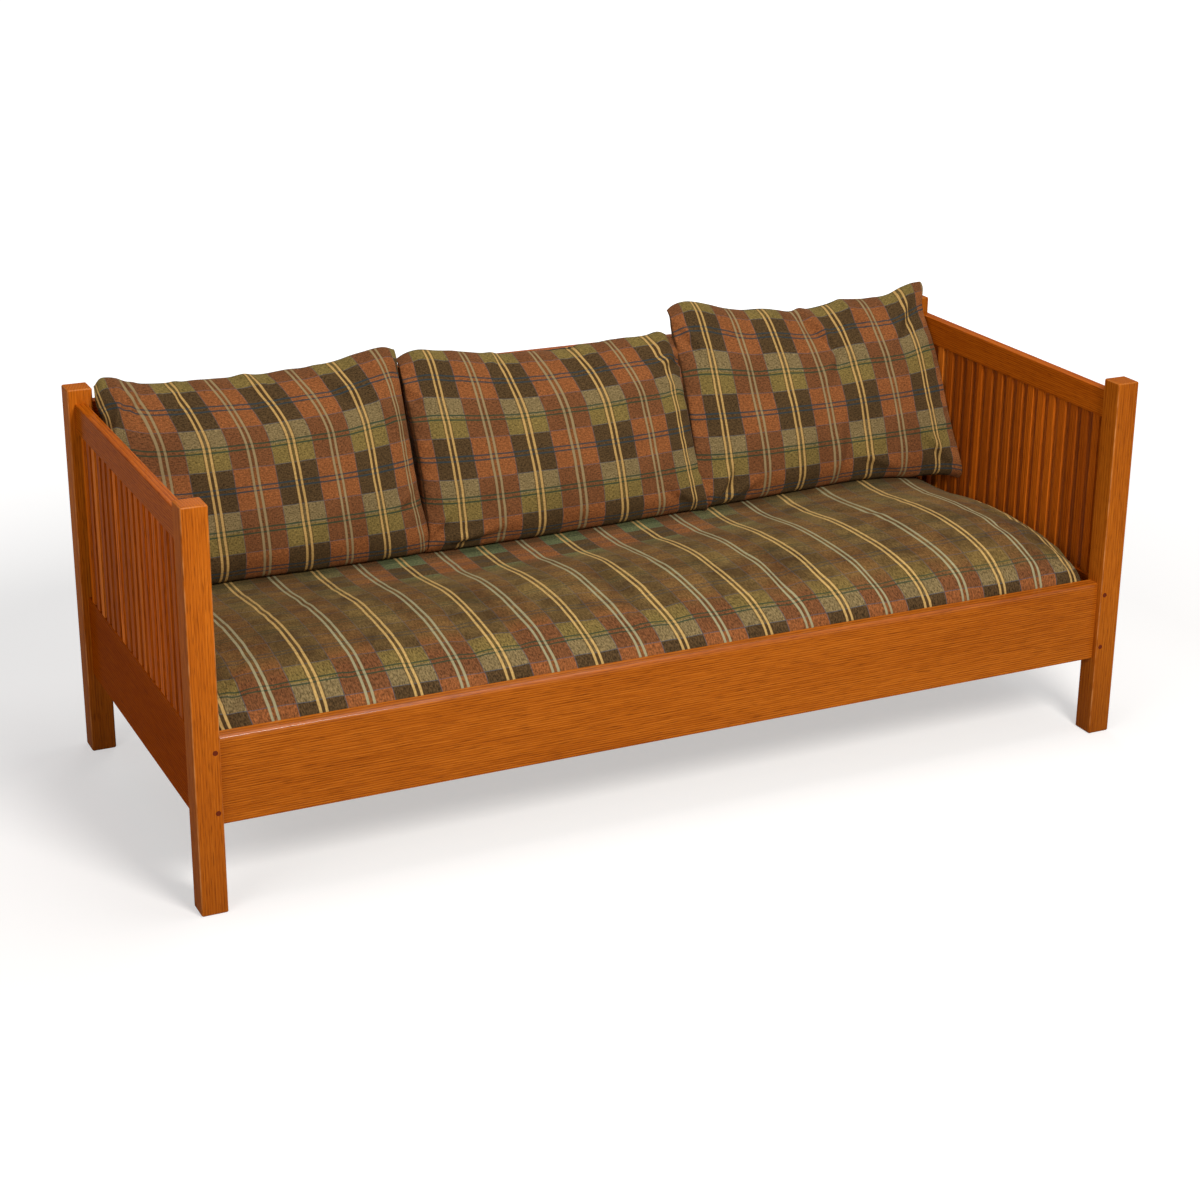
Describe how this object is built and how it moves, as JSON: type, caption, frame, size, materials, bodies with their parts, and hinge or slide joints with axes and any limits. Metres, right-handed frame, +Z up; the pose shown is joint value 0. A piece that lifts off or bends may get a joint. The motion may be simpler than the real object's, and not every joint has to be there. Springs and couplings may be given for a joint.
{
  "type": "mission settle",
  "caption": "Oak mission settle with even spindled arms and back, a slatted deck, a loose plaid bench cushion and loose plaid back cushions.",
  "frame": {"origin": "on the floor, midway between the four corner posts", "axes": "+X along the settle to the right of someone looking at its front, +Y from the front to the back, +Z up"},
  "size_m": [1.93, 0.8086, 0.7685],
  "materials": {
    "oak": "satin amber varnish on straight-grained oak",
    "peg_wood": "satin, end grain showing",
    "deck_wood": "planed, unfinished",
    "screw_steel": "zinc plated",
    "plaid_cloth": "short soft pile, woven plaid",
    "foam": "open-cell foam"
  },
  "bodies": {
    "frame": {"front_left_post": "oak", "front_right_post": "oak", "back_left_post": "oak", "back_right_post": "oak", "front_rail": "oak", "back_lower_rail": "oak", "back_top_rail": "oak", "left_lower_rail": "oak", "right_lower_rail": "oak", "left_arm_rail": "oak", "right_arm_rail": "oak", "left_spindles": "oak", "right_spindles": "oak", "back_spindles": "oak", "front_pegs": "peg_wood", "back_pegs": "peg_wood", "front_cleat": "deck_wood", "back_cleat": "deck_wood", "seat_slat_01": "deck_wood", "seat_slat_02": "deck_wood", "seat_slat_03": "deck_wood", "seat_slat_04": "deck_wood", "seat_slat_05": "deck_wood", "seat_slat_06": "deck_wood", "seat_slat_07": "deck_wood", "seat_slat_08": "deck_wood", "seat_slat_09": "deck_wood", "seat_slat_10": "deck_wood", "seat_slat_11": "deck_wood", "seat_slat_12": "deck_wood", "seat_slat_13": "deck_wood", "seat_slat_14": "deck_wood", "seat_slat_15": "deck_wood", "cleat_screws": "screw_steel", "slat_screws": "screw_steel"},
    "seat_cushion": {"seat_cushion_cover": "plaid_cloth", "seat_cushion_core": "foam"},
    "left_back_cushion": {"left_back_cushion_cover": "plaid_cloth", "left_back_cushion_core": "foam"},
    "middle_back_cushion": {"middle_back_cushion_cover": "plaid_cloth", "middle_back_cushion_core": "foam"},
    "right_back_cushion": {"right_back_cushion_cover": "plaid_cloth", "right_back_cushion_core": "foam"}
  },
  "joints": [
    {"name": "seat_cushion_lift", "type": "slide", "parent": "frame", "child": "seat_cushion", "axis": [0, 0, 1], "range_m": [0, 0.51]},
    {"name": "left_back_cushion_lift", "type": "slide", "parent": "seat_cushion", "child": "left_back_cushion", "axis": [0, 0, 1], "range_m": [0, 0.38]},
    {"name": "middle_back_cushion_lift", "type": "slide", "parent": "seat_cushion", "child": "middle_back_cushion", "axis": [0, 0, 1], "range_m": [0, 0.38]},
    {"name": "right_back_cushion_lift", "type": "slide", "parent": "seat_cushion", "child": "right_back_cushion", "axis": [0, 0, 1], "range_m": [0, 0.38]}
  ]
}
